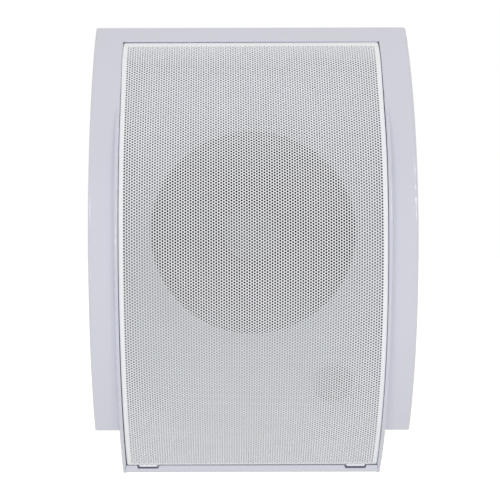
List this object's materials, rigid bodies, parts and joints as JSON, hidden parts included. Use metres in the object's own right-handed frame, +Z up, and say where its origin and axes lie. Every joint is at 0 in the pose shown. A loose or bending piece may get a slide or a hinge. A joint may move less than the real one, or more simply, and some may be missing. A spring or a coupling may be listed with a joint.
{
  "type": "wall speaker",
  "caption": "Bow-fronted wall loudspeaker in a moulded cabinet with side wings, a curved perforated steel grille, a cone driver, a bass port and a rear terminal.",
  "frame": {"origin": "middle of the rear face, on the plane of the wall", "axes": "+Z up, the front faces -Y, +X to the right of someone who looks at the front"},
  "size_m": [0.224, 0.108, 0.324],
  "materials": {
    "white_plastic": "smooth moulded gloss",
    "white_plastic_rear": "fine moulded texture",
    "white_paint": "satin powder coat",
    "zinc_steel": "zinc plated",
    "black_steel": "blackened",
    "black_foam": "closed-cell foam",
    "black_rubber": "matt",
    "black_paint": "satin",
    "black_paper": "pressed pulp",
    "black_cap": "satin",
    "aluminium": "bright foil",
    "copper": "lacquered wire",
    "tan_cloth": "resin-treated cloth",
    "ferrite": "ground ferrite",
    "brown_board": "pressed board",
    "brass": "tinned strip",
    "tinsel": "braid",
    "black_plastic": "moulded",
    "dark_plastic": "moulded",
    "red_plastic": "moulded",
    "red_wire": "insulated wire",
    "black_wire": "insulated wire"
  },
  "bodies": {
    "cabinet": {"front_housing": "white_plastic", "grille": "white_paint", "rear_cover": "white_plastic_rear", "cover_screws": "zinc_steel", "driver_gasket": "black_foam", "surround": "black_rubber", "basket": "black_paint", "driver_screws": "zinc_steel", "spider": "tan_cloth", "top_plate": "zinc_steel", "ring_magnet": "ferrite", "yoke": "zinc_steel", "tag_strip": "brown_board", "solder_tags": "brass", "tinsel_leads": "tinsel", "terminal_cup": "black_plastic", "terminal_screws": "black_steel", "positive_contact": "brass", "negative_contact": "brass", "positive_lead": "red_wire", "negative_lead": "black_wire"},
    "cone_assembly": {"cone": "black_paper", "dust_cap": "black_cap", "voice_coil_former": "aluminium", "voice_coil_winding": "copper"},
    "positive_lever": {"positive_lever": "red_plastic"},
    "negative_lever": {"negative_lever": "dark_plastic"}
  },
  "joints": [
    {"name": "cone_stroke", "type": "slide", "parent": "cabinet", "child": "cone_assembly", "axis": [0, -1, 0], "range_m": [-0.0025, 0.0025], "stiffness_N_per_m": 1200, "deforming": ["surround", "spider", "tinsel_leads"]},
    {"name": "positive_lever_press", "type": "hinge", "parent": "cabinet", "child": "positive_lever", "pos_m": [0.013, -0.0202, -0.0855], "axis": [-1, 0, 0], "range_deg": [0, 22], "stiffness_Nm_per_rad": 0.02, "springref_deg": -17.19, "deforming": ["positive_contact"]},
    {"name": "negative_lever_press", "type": "hinge", "parent": "cabinet", "child": "negative_lever", "pos_m": [-0.013, -0.0202, -0.0855], "axis": [-1, 0, 0], "range_deg": [0, 22], "stiffness_Nm_per_rad": 0.02, "springref_deg": -17.19, "deforming": ["negative_contact"]}
  ]
}
